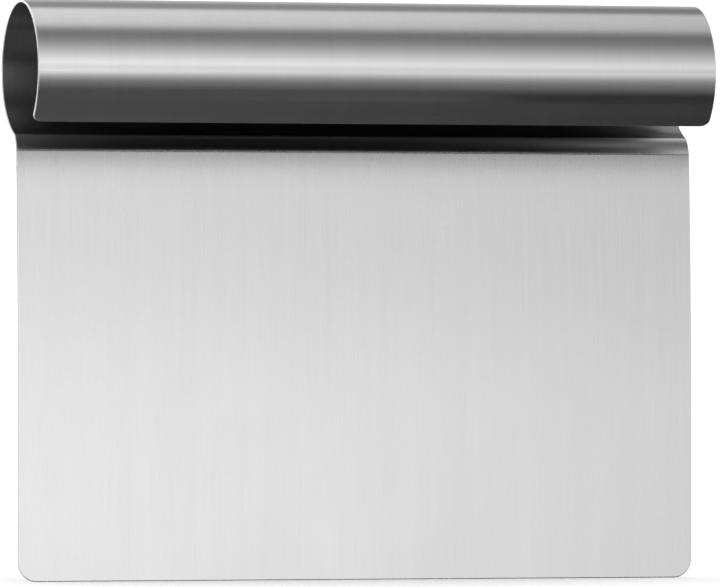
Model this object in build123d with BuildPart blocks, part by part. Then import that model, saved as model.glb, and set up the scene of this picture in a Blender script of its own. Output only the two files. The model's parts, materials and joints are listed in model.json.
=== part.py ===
"""A bench scraper formed from one stainless steel sheet.

The blade stands on its scraping edge. A slight bend, a curved neck and a tight bend turn its upper
end backward, and from there it rolls up, over the top and down the front into an open tube, which
is the handle. The one sheet is modelled as two solids that meet face to face at the first bend:
the blade, and the neck with the roll.

Millimetres. +X runs along the scraping edge, the front is -Y, +Z is up, and the origin is the
middle of the scraping edge. Each profile is drawn in the YZ plane, so its own x is the
object's Y, and its own y is the object's Z.
"""

import os
from math import radians, sin

from build123d import *

# Driving dimensions
width = 152.0  # length of the scraping edge and of the handle
overall_height = 124.2
sheet = 0.7  # thickness of the steel
handle_diameter = 30.0  # outside of the roll
flat_height = 38.0  # the blade is flat up to here, and sweeps gently backward above
blade_tilt = 3.0  # degrees that the blade leans back where the first bend begins
neck_start_tilt = 11.0  # degrees that the sheet leans back after the first bend
neck_end_tilt = 37.0  # degrees that it leans back where the second bend begins
roll_start_tilt = 70.0  # degrees that it leans back where it runs into the roll
first_bend_radius = 1.0  # each radius is to the middle of the sheet
neck_radius = 7.0
second_bend_radius = 1.8
mouth_angle = 40.5  # degrees from straight below the roll's centre forward to its free edge
blade_corner = 4.0  # radius of the two corners of the scraping edge
free_corner = 2.0  # radius of the two corners of the roll's free edge
edge_break = 0.2  # rounding of every cut edge

# Sizes that follow
half_sheet = sheet / 2
roll_outer = handle_diameter / 2
roll_middle = roll_outer - half_sheet
roll_sweep = roll_start_tilt + 270 - mouth_angle


def rise(radius, start_tilt, end_tilt):
    """How much higher an arc that turns the sheet backward ends than it starts."""
    return radius * (sin(radians(end_tilt)) - sin(radians(start_tilt)))


rise_of_first_bend = rise(first_bend_radius, blade_tilt, neck_start_tilt)
rise_of_neck = rise(neck_radius, neck_start_tilt, neck_end_tilt)
rise_of_second_bend = rise(second_bend_radius, neck_end_tilt, roll_start_tilt)
rise_of_roll = roll_middle * sin(radians(roll_start_tilt)) + roll_outer
rise_of_handle = rise_of_first_bend + rise_of_neck + rise_of_second_bend + rise_of_roll
bend_height = overall_height - rise_of_handle
sweep_radius = (bend_height - flat_height) / sin(radians(blade_tilt))


def blade_side(offset):
    """The flat line and the swept arc of one side of the blade, offset behind its middle."""
    flat = Line((offset, 0), (offset, flat_height))
    sweep = JernArc(flat @ 1, flat % 1, sweep_radius - offset, -blade_tilt)
    return flat, sweep


def handle_side(start, tangent, offset):
    """The arcs of the bends, neck and roll on one side of the sheet, carried on from the blade."""
    first = JernArc(start, tangent, first_bend_radius - offset, blade_tilt - neck_start_tilt)
    neck = JernArc(first @ 1, first % 1, neck_radius - offset, neck_start_tilt - neck_end_tilt)
    turn = neck_end_tilt - roll_start_tilt
    second = JernArc(neck @ 1, neck % 1, second_bend_radius - offset, turn)
    roll = JernArc(second @ 1, second % 1, roll_middle + offset, roll_sweep)
    return first, roll


def through_edges(solid):
    """The short straight edges that run through the sheet from its front to its back."""
    return solid.edges().filter_by(lambda edge: abs(edge.length - sheet) < 1e-3)


def cut_outline(solid, end_edges):
    """The edges on both sides of the sheet that follow its cut faces round, with end_edges across."""
    long_edges = solid.edges() - through_edges(solid)
    return long_edges - long_edges.filter_by(Axis.X) + end_edges


def edges_across(solid):
    """The edges that run the whole width of the sheet."""
    return solid.edges().filter_by(Axis.X)


with BuildPart() as blade:
    with BuildSketch(Plane.YZ):
        with BuildLine():
            front_flat, front_sweep = blade_side(-half_sheet)
            back_flat, back_sweep = blade_side(half_sheet)
            Line(front_flat @ 0, back_flat @ 0)
            Line(front_sweep @ 1, back_sweep @ 1)
        make_face()
    extrude(amount=width / 2, both=True)
    fillet(through_edges(blade).sort_by(Axis.Z)[:2], blade_corner)
    fillet(cut_outline(blade, edges_across(blade).sort_by(Axis.Z)[:2]), edge_break)

with BuildPart() as rolled_handle:
    with BuildSketch(Plane.YZ):
        with BuildLine():
            front_bend, inside = handle_side(front_sweep @ 1, front_sweep % 1, -half_sheet)
            back_bend, outside = handle_side(back_sweep @ 1, back_sweep % 1, half_sheet)
            Line(front_bend @ 0, back_bend @ 0)
            Line(inside @ 1, outside @ 1)
        make_face()
    extrude(amount=width / 2, both=True)
    fillet(through_edges(rolled_handle).sort_by(Axis.Y)[:2], free_corner)
    fillet(cut_outline(rolled_handle, edges_across(rolled_handle).sort_by(Axis.Y)[:2]), edge_break)

blade.part.label = "blade"
rolled_handle.part.label = "rolled_handle"

os.makedirs("parts", exist_ok=True)
export_step(blade.part, "parts/blade.step")
export_step(rolled_handle.part, "parts/rolled_handle.step")
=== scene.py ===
"""The looks of the bench scraper: its brushed steel sheet, and the studio round it. Metres.

The sheet is followed from the scraping edge, up the blade, through the neck and round the roll
to its free edge. A place on it is given by its distance along that path, its X, and its depth in
the steel. Both visible pieces are made by mapping a finely divided outline through that path.
"""

import json
import math

import bmesh
import bpy
from mathutils import Matrix, Vector, noise


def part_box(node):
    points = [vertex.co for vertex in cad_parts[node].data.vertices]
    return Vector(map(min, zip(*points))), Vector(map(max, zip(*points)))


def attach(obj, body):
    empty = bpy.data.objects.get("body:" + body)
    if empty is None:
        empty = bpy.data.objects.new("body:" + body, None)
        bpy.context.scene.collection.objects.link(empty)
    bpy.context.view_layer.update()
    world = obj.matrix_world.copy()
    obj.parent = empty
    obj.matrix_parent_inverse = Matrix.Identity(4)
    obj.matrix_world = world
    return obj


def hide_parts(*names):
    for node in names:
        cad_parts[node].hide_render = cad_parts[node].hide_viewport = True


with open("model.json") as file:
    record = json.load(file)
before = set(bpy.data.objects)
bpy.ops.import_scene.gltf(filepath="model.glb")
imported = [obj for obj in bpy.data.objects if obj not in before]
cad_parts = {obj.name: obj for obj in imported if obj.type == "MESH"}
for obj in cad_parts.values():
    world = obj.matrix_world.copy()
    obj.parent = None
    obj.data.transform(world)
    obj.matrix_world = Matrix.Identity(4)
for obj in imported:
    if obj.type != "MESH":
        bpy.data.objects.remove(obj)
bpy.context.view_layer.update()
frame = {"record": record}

MM = 0.001

# ---- Sizes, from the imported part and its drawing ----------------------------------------

mounts = {mount["name"]: mount for mount in frame["record"]["mounts"]}
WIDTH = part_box("blade")[1].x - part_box("blade")[0].x
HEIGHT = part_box("rolled_handle")[1].z
SHEET = 2 * mounts["blade_back"]["pos_m"][1]
ROLL_MIDDLE = mounts["handle_bore"]["dims"]["r_mm"] * MM + SHEET / 2
FLAT_HEIGHT = 38.0 * MM
BLADE_TILT = math.radians(3.0)
NECK_START_TILT = math.radians(11.0)
NECK_END_TILT = math.radians(37.0)
ROLL_START_TILT = math.radians(70.0)
FIRST_BEND_RADIUS = 1.0 * MM
NECK_RADIUS = 7.0 * MM
SECOND_BEND_RADIUS = 1.8 * MM
MOUTH_ANGLE = math.radians(40.5)
BLADE_CORNER = 4.0 * MM
FREE_CORNER = 2.0 * MM
EDGE_BREAK = 0.2 * MM

# The faint unevenness of rolled sheet metal: how far it stands off the drawn surface, the lengths
# of its waves across and along the sheet, the share of the quick ones, and a noise layer for each.
RIPPLE_DEPTH = 0.030 * MM
SLOW_WAVES = (65 * MM, 55 * MM)
QUICK_WAVES = (24 * MM, 45 * MM)
QUICK_SHARE = 0.3
SLOW_LAYER = 3.7
QUICK_LAYER = 8.1
SLOPE_STEP = 0.5 * MM  # the step over which the slope of its waves is measured

# How finely the sheet's path is divided.
ROW_STEP = 2.0 * MM
ROW_TURN = math.radians(3.0)
CORNER_GAP = 0.3 * MM  # rows nearer than this to the end of a corner are left out
TOLERANCE = 1e-9

# The arcs above the blade: radius, and tilt at the start and at the end.
ARCS = (
    (FIRST_BEND_RADIUS, BLADE_TILT, NECK_START_TILT),
    (NECK_RADIUS, NECK_START_TILT, NECK_END_TILT),
    (SECOND_BEND_RADIUS, NECK_END_TILT, ROLL_START_TILT),
)
neck_rise = sum(radius * (math.sin(end) - math.sin(start)) for radius, start, end in ARCS)
roll_rise = ROLL_MIDDLE * (1 + math.sin(ROLL_START_TILT)) + SHEET / 2
bend_height = HEIGHT - roll_rise - neck_rise
sweep_radius = (bend_height - FLAT_HEIGHT) / math.sin(BLADE_TILT)

# Each stretch of the sheet's path: its length, and how fast it turns backward, in radians a metre.
STRETCHES = (
    (FLAT_HEIGHT, 0.0),
    (sweep_radius * BLADE_TILT, 1 / sweep_radius),
    *((radius * (end - start), 1 / radius) for radius, start, end in ARCS),
    (ROLL_MIDDLE * (ROLL_START_TILT + 1.5 * math.pi - MOUTH_ANGLE), -1 / ROLL_MIDDLE),
)
SEAM = STRETCHES[0][0] + STRETCHES[1][0]
ROLL_START = sum(length for length, _ in STRETCHES[:-1])
SHEET_LENGTH = sum(length for length, _ in STRETCHES)


# ---- The sheet's path -------------------------------------------------------------------


def on_path(distance):
    """(point in the YZ plane, backward tilt) of the middle of the sheet, that far along its path."""
    y, z, tilt = 0.0, 0.0, 0.0
    for length, turn in STRETCHES:
        step = min(distance, length)
        end_tilt = tilt + step * turn
        if turn:
            y += (math.cos(tilt) - math.cos(end_tilt)) / turn
            z += (math.sin(end_tilt) - math.sin(tilt)) / turn
        else:
            z += step
        tilt = end_tilt
        distance -= step
        if distance <= 0:
            break
    return y, z, tilt


def waves(x, distance, lengths, layer):
    """Smooth noise with waves of the given lengths across and along the sheet."""
    across, along = lengths
    return noise.noise(Vector((x / across, distance / along, layer)))


def ripple(x, distance):
    """How far the sheet stands off its drawn surface."""
    slow = waves(x, distance, SLOW_WAVES, SLOW_LAYER)
    quick = waves(x, distance, QUICK_WAVES, QUICK_LAYER)
    return RIPPLE_DEPTH * (slow + QUICK_SHARE * quick)


def on_sheet(x, distance, depth):
    """(point, along, out) at a place on the sheet: along its path, and out of its front side."""
    y, z, tilt = on_path(distance)
    along = Vector((0, math.sin(tilt), math.cos(tilt)))
    front = Vector((0, -math.cos(tilt), math.sin(tilt)))
    lift = ripple(x, distance)
    slope_x = (ripple(x + SLOPE_STEP, distance) - lift) / SLOPE_STEP
    slope_along = (ripple(x, distance + SLOPE_STEP) - lift) / SLOPE_STEP
    point = Vector((x, y, z)) + front * (depth + lift)
    out = (front - Vector((slope_x, 0, 0)) - along * slope_along).normalized()
    return point, along, out


# ---- The meshes -------------------------------------------------------------------------


def rows_between(start, end):
    """Distances along the path from start to end: each stretch's ends, and steps that suit its curve."""
    marks, at = [], 0.0
    for length, turn in STRETCHES:
        steps = max(2, math.ceil(max(length / ROW_STEP, abs(length * turn) / ROW_TURN)))
        marks += [at + length * step / steps for step in range(steps)]
        at += length
    marks.append(at)
    return [mark for mark in marks if start - TOLERANCE <= mark <= end + TOLERANCE]


class SheetMesh:
    """One piece of the sheet as a closed mesh: two faces, a rounded rim, and the end at the seam."""

    COLUMNS = 76
    CORNER_STEPS = 8
    BREAK_STEPS = 4

    def __init__(self, free_end, seam, corner):
        self.free_end, self.corner = free_end, corner
        self.direction = 1 if seam > free_end else -1
        self.points, self.normals, self.places, self.faces, self.kinds = [], [], [], [], []
        marks = rows_between(min(free_end, seam), max(free_end, seam))
        reach = sorted(abs(mark - free_end) for mark in marks)
        self.straight_rows = [row for row in reach if row > corner + CORNER_GAP]
        self.row_count = self.CORNER_STEPS + 1 + len(self.straight_rows)

    def outline(self, row, inset):
        """(half width, distance from the free end, outward direction) of a row of the inset outline."""
        if row <= self.CORNER_STEPS:
            angle = 0.5 * math.pi * row / self.CORNER_STEPS
            radius = self.corner - inset
            half = WIDTH / 2 - self.corner + radius * math.sin(angle)
            return half, self.corner - radius * math.cos(angle), (math.sin(angle), math.cos(angle))
        reach = self.straight_rows[row - self.CORNER_STEPS - 1]
        return WIDTH / 2 - inset, reach, (1.0, 0.0)

    def add(self, x, reach, depth, outward, lean):
        """A vertex. Its normal leans from out of the front (0) toward outward (90 degrees)."""
        distance = self.free_end + self.direction * reach
        point, along, out = on_sheet(x, distance, depth)
        sideways = Vector((outward[0], 0, 0)) - along * self.direction * outward[1]
        normal = out * math.cos(lean) + sideways * math.sin(lean)
        self.points.append(point)
        self.normals.append(normal.normalized())
        self.places.append((x, distance + depth))
        return len(self.points) - 1

    def face(self, corners, kind):
        self.faces.append(corners)
        self.kinds.append(kind)

    def side(self, depth, lean):
        """The grid of one face of the sheet, as rows of vertex numbers."""
        grid = []
        for row in range(self.row_count):
            half, reach, _ = self.outline(row, EDGE_BREAK)
            across = [half * (2 * column / self.COLUMNS - 1) for column in range(self.COLUMNS + 1)]
            grid.append([self.add(x, reach, depth, (0, 0), lean) for x in across])
        for low, high in zip(grid, grid[1:]):
            for column in range(self.COLUMNS):
                corners = [low[column], low[column + 1], high[column + 1], high[column]]
                # The front side within the roll faces its hollow and takes the darker inside finish,
                # which is painted shade.
                inside = lean == 0 and min(self.places[v][1] for v in corners) > ROLL_START
                self.face(corners, "inside" if inside else "face")
        return grid

    def rim(self, inset, depth, lean):
        """The vertices of one line round the rim, from the seam round the free end to the seam again."""
        last = self.row_count - 1
        line = []
        for row in range(last, -1, -1):
            half, reach, outward = self.outline(row, inset)
            line.append(self.add(-half, reach, depth, (-outward[0], outward[1]), lean))
        half, reach, _ = self.outline(0, inset)
        for column in range(1, self.COLUMNS):
            line.append(self.add(half * (2 * column / self.COLUMNS - 1), reach, depth, (0, 1), lean))
        for row in range(self.row_count):
            half, reach, outward = self.outline(row, inset)
            line.append(self.add(half, reach, depth, outward, lean))
        return line

    @staticmethod
    def border(grid):
        """The vertices of a face's grid in the same order as a rim line."""
        left = [row[0] for row in reversed(grid)]
        return left + grid[0][1:-1] + [row[-1] for row in grid]

    def build(self):
        front = self.side(SHEET / 2, 0.0)
        back = self.side(-SHEET / 2, math.pi)
        lines = [self.border(front)]
        quarter = [0.5 * math.pi * step / self.BREAK_STEPS for step in range(1, self.BREAK_STEPS + 1)]
        straight = SHEET / 2 - EDGE_BREAK
        for lean in quarter:
            depth = straight + EDGE_BREAK * math.cos(lean)
            lines.append(self.rim(EDGE_BREAK * (1 - math.sin(lean)), depth, lean))
        for lean in [math.pi - lean for lean in reversed(quarter)]:
            depth = -straight + EDGE_BREAK * math.cos(lean)
            lines.append(self.rim(EDGE_BREAK * (1 - math.sin(lean)), depth, lean))
        lines.append(self.border(back))
        for near, far in zip(lines, lines[1:]):
            for place in range(len(near) - 1):
                self.face([near[place], near[place + 1], far[place + 1], far[place]], "rim")
        self.face([line[0] for line in lines], "seam")
        self.face([line[-1] for line in lines], "seam")
        for column in range(self.COLUMNS):
            top, under = front[-1], back[-1]
            self.face([top[column], top[column + 1], under[column + 1], under[column]], "seam")


def sheet_piece(name, free_end, seam, corner, materials):
    """One piece of the sheet as an object, with its own normals and its grain coordinates."""
    shape = SheetMesh(free_end, seam, corner)
    shape.build()
    mesh = bpy.data.meshes.new(name)
    mesh.from_pydata(shape.points, [], shape.faces)
    working = bmesh.new()
    working.from_mesh(mesh)
    bmesh.ops.recalc_face_normals(working, faces=working.faces)
    working.to_mesh(mesh)
    working.free()
    finishes = {"face": 0, "rim": 1, "seam": 1, "inside": 2}
    for material in materials:
        mesh.materials.append(material)
    grain = mesh.uv_layers.new(name="grain")
    loop_normals = []
    for polygon, kind in zip(mesh.polygons, shape.kinds):
        polygon.use_smooth = True
        polygon.material_index = finishes[kind]
        for loop in polygon.loop_indices:
            vertex = mesh.loops[loop].vertex_index
            grain.data[loop].uv = shape.places[vertex]
            loop_normals.append(polygon.normal.copy() if kind == "seam" else shape.normals[vertex])
    mesh.normals_split_custom_set(loop_normals)
    piece = bpy.data.objects.new(name, mesh)
    bpy.context.scene.collection.objects.link(piece)
    return piece


# ---- Materials --------------------------------------------------------------------------

# The brushed grain: how much its lines and hairs change the tone and the roughness, how deep it
# is, and how much higher than the hairs the lines stand.
LINE_TINT = 0.018
HAIR_TINT = 0.025
ROUGHNESS_SPREAD = 0.02
GRAIN_DEPTH = 0.0007 * MM
LINE_HEIGHT = 1.2

# The nicks of the cut edge.
NICK_SIZE = 0.5 * MM
NICK_DEPTH = 0.01 * MM
NICK_TINT = 0.06
NICK_ROUGHNESS = 0.08


class Nodes:
    """A material's node tree, with short ways to add and link what these materials use."""

    def __init__(self, name):
        self.material = bpy.data.materials.new(name)
        self.material.use_nodes = True
        self.tree = self.material.node_tree
        self.tree.nodes.clear()
        self.output = self.add("ShaderNodeOutputMaterial")

    def add(self, kind, **settings):
        node = self.tree.nodes.new(kind)
        for name, value in settings.items():
            setattr(node, name, value)
        return node

    def link(self, source, target):
        self.tree.links.new(source, target)

    def math(self, operation, first, second):
        node = self.add("ShaderNodeMath", operation=operation)
        for socket, value in zip(node.inputs, (first, second)):
            if isinstance(value, (int, float)):
                socket.default_value = value
            else:
                self.link(value, socket)
        return node.outputs[0]

    def spread(self, value, low, high):
        """The value, from 0 to 1, spread from low to high."""
        node = self.add("ShaderNodeMapRange")
        node.inputs["To Min"].default_value = low
        node.inputs["To Max"].default_value = high
        self.link(value, node.inputs["Value"])
        return node.outputs["Result"]

    def places(self):
        """Where each point is on the sheet: its X, and its distance along the path, in metres."""
        return self.add("ShaderNodeUVMap", uv_map="grain").outputs["UV"]

    def streaks(self, places, across, along, detail, shift):
        """Noise drawn out along the grain: about across wide and along long, in metres."""
        mapping = self.add("ShaderNodeMapping")
        mapping.inputs["Scale"].default_value = (1 / across, 1 / along, 1)
        mapping.inputs["Location"].default_value = (shift, 0.37 * shift, 0)
        self.link(places, mapping.inputs["Vector"])
        texture = self.add("ShaderNodeTexNoise", noise_dimensions="2D")
        texture.inputs["Scale"].default_value = 1.0
        texture.inputs["Detail"].default_value = detail
        texture.inputs["Roughness"].default_value = 0.6
        self.link(mapping.outputs["Vector"], texture.inputs["Vector"])
        return texture.outputs["Fac"]

    def metal(self, grey, roughness, height, depth):
        """A metal shader at the output: its tone and roughness, and a bump of the height times depth."""
        shader = self.add("ShaderNodeBsdfPrincipled")
        shader.inputs["Metallic"].default_value = 1.0
        colour = self.add("ShaderNodeCombineColor")
        for channel in ("Red", "Green", "Blue"):
            self.link(grey, colour.inputs[channel])
        self.link(colour.outputs["Color"], shader.inputs["Base Color"])
        self.link(roughness, shader.inputs["Roughness"])
        bump = self.add("ShaderNodeBump")
        bump.inputs["Strength"].default_value = 1.0
        bump.inputs["Distance"].default_value = depth
        self.link(height, bump.inputs["Height"])
        self.link(bump.outputs["Normal"], shader.inputs["Normal"])
        self.link(shader.outputs["BSDF"], self.output.inputs["Surface"])
        return shader


def brushed_steel(name, tone, roughness, shift):
    """Satin stainless steel with its grain along the sheet's path, at right angles to X."""
    m = Nodes(name)
    places = m.places()
    hair = m.streaks(places, across=0.11 * MM, along=14 * MM, detail=2.0, shift=shift)
    line = m.streaks(places, across=0.55 * MM, along=45 * MM, detail=2.0, shift=shift + 11)
    stripe = m.streaks(places, across=5.0 * MM, along=160 * MM, detail=3.0, shift=shift + 23)
    haze = m.streaks(places, across=24 * MM, along=30 * MM, detail=4.0, shift=shift + 41)

    tint = m.math("ADD", m.spread(line, -LINE_TINT, LINE_TINT), m.spread(stripe, -LINE_TINT, LINE_TINT))
    grey = m.math("ADD", tint, m.spread(hair, tone - HAIR_TINT, tone + HAIR_TINT))
    patches = m.spread(haze, -ROUGHNESS_SPREAD, ROUGHNESS_SPREAD)
    lines = m.spread(line, roughness - ROUGHNESS_SPREAD, roughness + ROUGHNESS_SPREAD)
    height = m.math("ADD", hair, m.math("MULTIPLY", line, LINE_HEIGHT))
    shader = m.metal(grey, m.math("ADD", patches, lines), height, GRAIN_DEPTH)
    shader.inputs["Anisotropic"].default_value = 0.75
    tangent = m.add("ShaderNodeTangent", direction_type="UV_MAP", uv_map="grain")
    m.link(tangent.outputs["Tangent"], shader.inputs["Tangent"])
    return m.material


def cut_steel(name, tone, roughness):
    """The sheet's cut and deburred edge: bare and unbrushed with real nicks, and a raised tone that is a
    painted highlight along the rim.
    """
    m = Nodes(name)
    nick = m.streaks(m.places(), across=NICK_SIZE, along=NICK_SIZE, detail=3.0, shift=5)
    grey = m.spread(nick, tone - NICK_TINT, tone + NICK_TINT)
    rough = m.spread(nick, roughness - NICK_ROUGHNESS, roughness + NICK_ROUGHNESS)
    m.metal(grey, rough, nick, NICK_DEPTH)
    return m.material


# ---- The two visible pieces -------------------------------------------------------------

# The cut edge's tone of 0.88, well above the faces' 0.66, is a painted highlight: the bright line along
# the rim.
cut_edge_painted_glint = cut_steel("cut_edge_painted_glint_steel", tone=0.88, roughness=0.30)
blade_finish = brushed_steel("blade_satin_steel", tone=0.66, roughness=0.27, shift=3)
handle_finish = brushed_steel("handle_satin_steel", tone=0.66, roughness=0.25, shift=7)
# The inside of the roll: the same brushed steel at half the tone, painted shade for the dim hollow of
# the roll.
roll_inside_painted_shade_finish = brushed_steel("roll_inside_painted_shade_steel", tone=0.33, roughness=0.30, shift=13)

blade_sheet = sheet_piece("blade_sheet", 0.0, SEAM, BLADE_CORNER, (blade_finish, cut_edge_painted_glint))
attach(blade_sheet, "root")
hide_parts("blade")

handle_finishes = (handle_finish, cut_edge_painted_glint, roll_inside_painted_shade_finish)
handle_roll = sheet_piece("handle_roll", SHEET_LENGTH, SEAM, FREE_CORNER, handle_finishes)
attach(handle_roll, "root")
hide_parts("rolled_handle")


# ---- The studio -------------------------------------------------------------------------

FLOOR_REACH = 30.0  # metres from its middle to each side
FLOOR_TONE = 0.93
ROOM_BRIGHTNESS = 1.25


def stage_mesh(name, mesh_maker):
    """A stage object whose mesh is made by mesh_maker in a bmesh."""
    mesh = bpy.data.meshes.new(name)
    working = bmesh.new()
    mesh_maker(working)
    working.to_mesh(mesh)
    working.free()
    thing = bpy.data.objects.new(name, mesh)
    bpy.context.scene.collection.objects.link(thing)
    return thing


def pale_floor():
    """A wide plain floor at the foot of the blade."""
    floor = stage_mesh(
        "floor", lambda b: bmesh.ops.create_grid(b, x_segments=1, y_segments=1, size=FLOOR_REACH)
    )
    m = Nodes("pale_floor")
    shader = m.add("ShaderNodeBsdfPrincipled")
    shader.inputs["Base Color"].default_value = (FLOOR_TONE, FLOOR_TONE, FLOOR_TONE, 1)
    shader.inputs["Roughness"].default_value = 0.9
    shader.inputs["Specular IOR Level"].default_value = 0.0
    m.link(shader.outputs["BSDF"], m.output.inputs["Surface"])
    floor.data.materials.append(m.material)
    floor.visible_glossy = False


# The tent is the sum of these panels. Each has its brightness by height round the X axis, where 0
# is level with the front, 90 overhead and 180 level with the rear, in degrees, and a factor by X
# in metres.
TENT_PANELS = {
    "rear": (
        ((-180, 1.05), (-165, 1.0), (-150, 0.6), (-138, 0.0), (138, 0.0), (160, 0.6), (180, 1.05)),
        ((-1.0, 0.15), (-0.75, 0.3), (-0.55, 1.0), (0.6, 1.0), (0.9, 0.7), (1.0, 0.15)),
    ),
    "floor": (
        ((-150, 0.0), (-142, 0.35), (-128, 0.35), (-114, 0.09), (-34, 0.09), (-29, 0.05), (-25, 0.0)),
        (
            (-1.0, 1.0), (-0.75, 3.5), (-0.5, 3.5), (-0.25, 0.95), (0.1, 1.05), (0.24, 1.1), (0.31, 0.8),
            (0.38, 0.2), (0.5, 0.05), (0.64, 0.1), (0.8, 3.5), (0.92, 2.5), (1.0, 1.0),
        ),
    ),
    "below_front": (
        ((-34, 0.0), (-29, 0.05), (-26, 0.15), (-22, 0.19), (-15, 0.19), (-11, 0.0)),
        ((-1.0, 1.0), (1.0, 1.0)),
    ),
    "low_front": (
        (
            (-17, 0.0), (-14, 0.45), (-10, 1.45), (-6, 1.58), (-2, 1.38),
            (2, 1.18), (4, 1.07), (6, 0.95), (9, 0.88), (14, 0.0),
        ),
        (
            (-1.0, 0.15), (-0.75, 0.3), (-0.5, 1.0), (0.15, 1.05), (0.28, 0.93),
            (0.45, 0.55), (0.65, 0.30), (0.85, 0.8), (0.92, 0.7), (1.0, 0.15),
        ),
    ),
    "high_front": (
        (
            (6, 0.0), (8.5, 0.36), (10.5, 0.78), (14, 1.24), (22, 0.96), (30, 0.75), (38, 0.55),
            (46, 0.38), (54, 0.27), (61, 0.22), (66, 0.22), (69, 0.12), (72, 0.0),
        ),
        (
            (-1.0, 0.15), (-0.75, 0.3), (-0.5, 0.95), (-0.1, 1.0), (0.17, 1.14),
            (0.45, 0.76), (0.67, 0.52), (0.85, 0.9), (0.92, 0.8), (1.0, 0.15),
        ),
    ),
    "overhead": (
        (
            (64, 0.0), (68, 0.16), (72, 0.50), (78, 0.86), (92, 0.98), (108, 1.04),
            (116, 1.04), (121, 0.36), (140, 0.34), (152, 0.2), (160, 0.0),
        ),
        (
            (-1.0, 0.15), (-0.75, 0.3), (-0.5, 0.95), (-0.2, 1.0), (0.15, 1.06), (0.3, 0.84),
            (0.45, 0.58), (0.65, 0.38), (0.85, 0.9), (0.92, 0.8), (1.0, 0.15),
        ),
    ),
}

# Light added to all of it near both sides, by X in metres.
TENT_FILL = (
    (-1.0, 0.05), (-0.85, 0.12), (-0.72, 0.40), (-0.52, 0.40), (-0.25, 0.0),
    (0.66, 0.0), (0.8, 0.2), (0.92, 0.15), (1.0, 0.0),
)
TENT_RADIUS = 1.0
TENT_CENTRE = (0, 0, HEIGHT * 0.7)

# Two narrow shaded cards in front of the handle, which keep the bright front off its lower side
# and off the neck. Each has its Y, how far its bands and top edge rise to the right, in degrees,
# its brightness by height in metres, and a factor by X.
CARDS = {
    "card_before_roll": {
        "y": -0.050,
        "raised": 1.5,
        "bands": ((0.0966, 0.28), (0.1004, 0.42), (0.1052, 0.80), (0.1074, 1.10)),
        "by_x": ((-0.13, 1.0), (0.0, 1.0), (0.03, 1.12), (0.13, 1.12)),
    },
    "card_before_neck": {
        "y": -0.020,
        "raised": 0.0,
        "bands": ((0.0962, 0.10), (0.1012, 0.085)),
        "by_x": ((-0.13, 1.0), (0.015, 0.95), (0.04, 0.38), (0.13, 0.33)),
    },
}
CARD_LENGTH = 0.26


def ramp(m, value, stops):
    """The level that a row of (place, level) stops gives for the value."""
    low, high = stops[0][0], stops[-1][0]
    scaled = m.add("ShaderNodeMapRange")
    scaled.inputs["From Min"].default_value = low
    scaled.inputs["From Max"].default_value = high
    m.link(value, scaled.inputs["Value"])
    node = m.add("ShaderNodeValToRGB")
    elements = node.color_ramp.elements
    while len(elements) < len(stops):
        elements.new(1.0)
    for element, (place, level) in zip(elements, stops):
        element.position = (place - low) / (high - low)
        element.color = (level, level, level, 1)
    m.link(scaled.outputs["Result"], node.inputs["Fac"])
    return node.outputs["Color"]


def only_reflected(thing):
    """Lets a stage object show in reflections and nowhere else."""
    thing.visible_camera = False
    thing.visible_diffuse = False
    thing.visible_transmission = False
    thing.visible_volume_scatter = False
    thing.visible_shadow = False


def glowing(m, strength):
    """Finishes a material that gives out light of the given strength."""
    glow = m.add("ShaderNodeEmission")
    m.link(strength, glow.inputs["Strength"])
    m.link(glow.outputs["Emission"], m.output.inputs["Surface"])
    m.material.cycles.emission_sampling = "NONE"
    return m.material


def light_tent():
    """A soft tent round the scraper, seen only as reflections in its steel."""
    tent = stage_mesh(
        "light_tent",
        lambda b: bmesh.ops.create_uvsphere(b, u_segments=96, v_segments=48, radius=TENT_RADIUS),
    )
    tent.location = TENT_CENTRE
    m = Nodes("tent_glow")
    place = m.add("ShaderNodeSeparateXYZ")
    m.link(m.add("ShaderNodeTexCoord").outputs["Object"], place.inputs["Vector"])
    forward = m.math("MULTIPLY", place.outputs["Y"], -1.0)
    height = m.math("MULTIPLY", m.math("ARCTAN2", place.outputs["Z"], forward), 180 / math.pi)
    strength = ramp(m, place.outputs["X"], TENT_FILL)
    for by_height, by_x in TENT_PANELS.values():
        panel = m.math("MULTIPLY", ramp(m, height, by_height), ramp(m, place.outputs["X"], by_x))
        strength = m.math("ADD", strength, panel)
    tent.data.materials.append(glowing(m, strength))
    only_reflected(tent)


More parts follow.
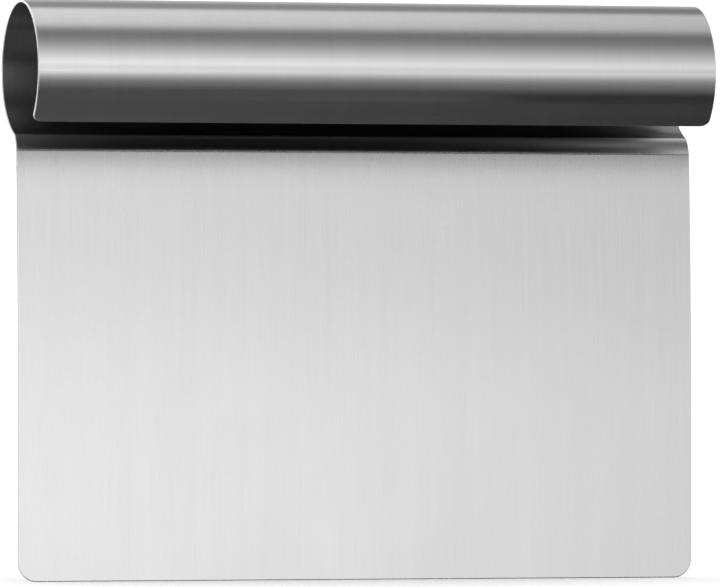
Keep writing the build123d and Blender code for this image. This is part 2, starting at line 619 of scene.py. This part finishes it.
def shaded_card(name, y, raised, bands, by_x):
    """A narrow card along X, at the given Y, with its brightness by height and by X."""
    low, high = bands[0][0], bands[-1][0]
    half = CARD_LENGTH / 2
    slope = math.tan(math.radians(raised))
    corners = ((-half, low), (half, low), (half, high + half * slope), (-half, high - half * slope))
    card = stage_mesh(name, lambda b: b.faces.new([b.verts.new((x, y, z)) for x, z in corners]))
    m = Nodes(name + "_glow")
    place = m.add("ShaderNodeSeparateXYZ")
    m.link(m.add("ShaderNodeTexCoord").outputs["Object"], place.inputs["Vector"])
    height = m.math("SUBTRACT", place.outputs["Z"], m.math("MULTIPLY", place.outputs["X"], slope))
    strength = m.math("MULTIPLY", ramp(m, height, bands), ramp(m, place.outputs["X"], by_x))
    card.data.materials.append(glowing(m, strength))
    only_reflected(card)


def white_surroundings():
    """The plain white of the room, which lights the floor evenly."""
    world = bpy.data.worlds.new("white_room")
    world.use_nodes = True
    background = world.node_tree.nodes["Background"]
    background.inputs["Color"].default_value = (1, 1, 1, 1)
    background.inputs["Strength"].default_value = ROOM_BRIGHTNESS
    bpy.context.scene.world = world


# Where the photograph is taken from: the place, the lens and sensor in mm, the turns in degrees.
CAMERA_PLACE = Vector((-0.6415, -2.0343, 0.0497))
CAMERA_LENS = 495.2
CAMERA_SENSOR = 36.0
CAMERA_YAW = -17.514
CAMERA_PITCH = 0.32
CAMERA_ROLL = -0.02


def camera():
    """A very long lens nearly level with the middle of the blade, 17.5 degrees to its left."""
    data = bpy.data.cameras.new("camera")
    data.sensor_width = CAMERA_SENSOR
    data.lens = CAMERA_LENS
    made = bpy.data.objects.new("camera", data)
    turn = Matrix.Rotation(math.radians(CAMERA_YAW), 4, "Z")
    tip = Matrix.Rotation(math.radians(CAMERA_PITCH), 4, "X")
    roll = Matrix.Rotation(math.radians(CAMERA_ROLL), 4, "Y")
    upright = Matrix.Rotation(math.radians(90), 4, "X")
    made.matrix_world = Matrix.Translation(CAMERA_PLACE) @ turn @ tip @ roll @ upright
    bpy.context.scene.collection.objects.link(made)
    bpy.context.scene.camera = made


camera()
pale_floor()
light_tent()
for name, settings in CARDS.items():
    shaded_card(name, **settings)
white_surroundings()
bpy.context.scene.view_settings.view_transform = "Standard"
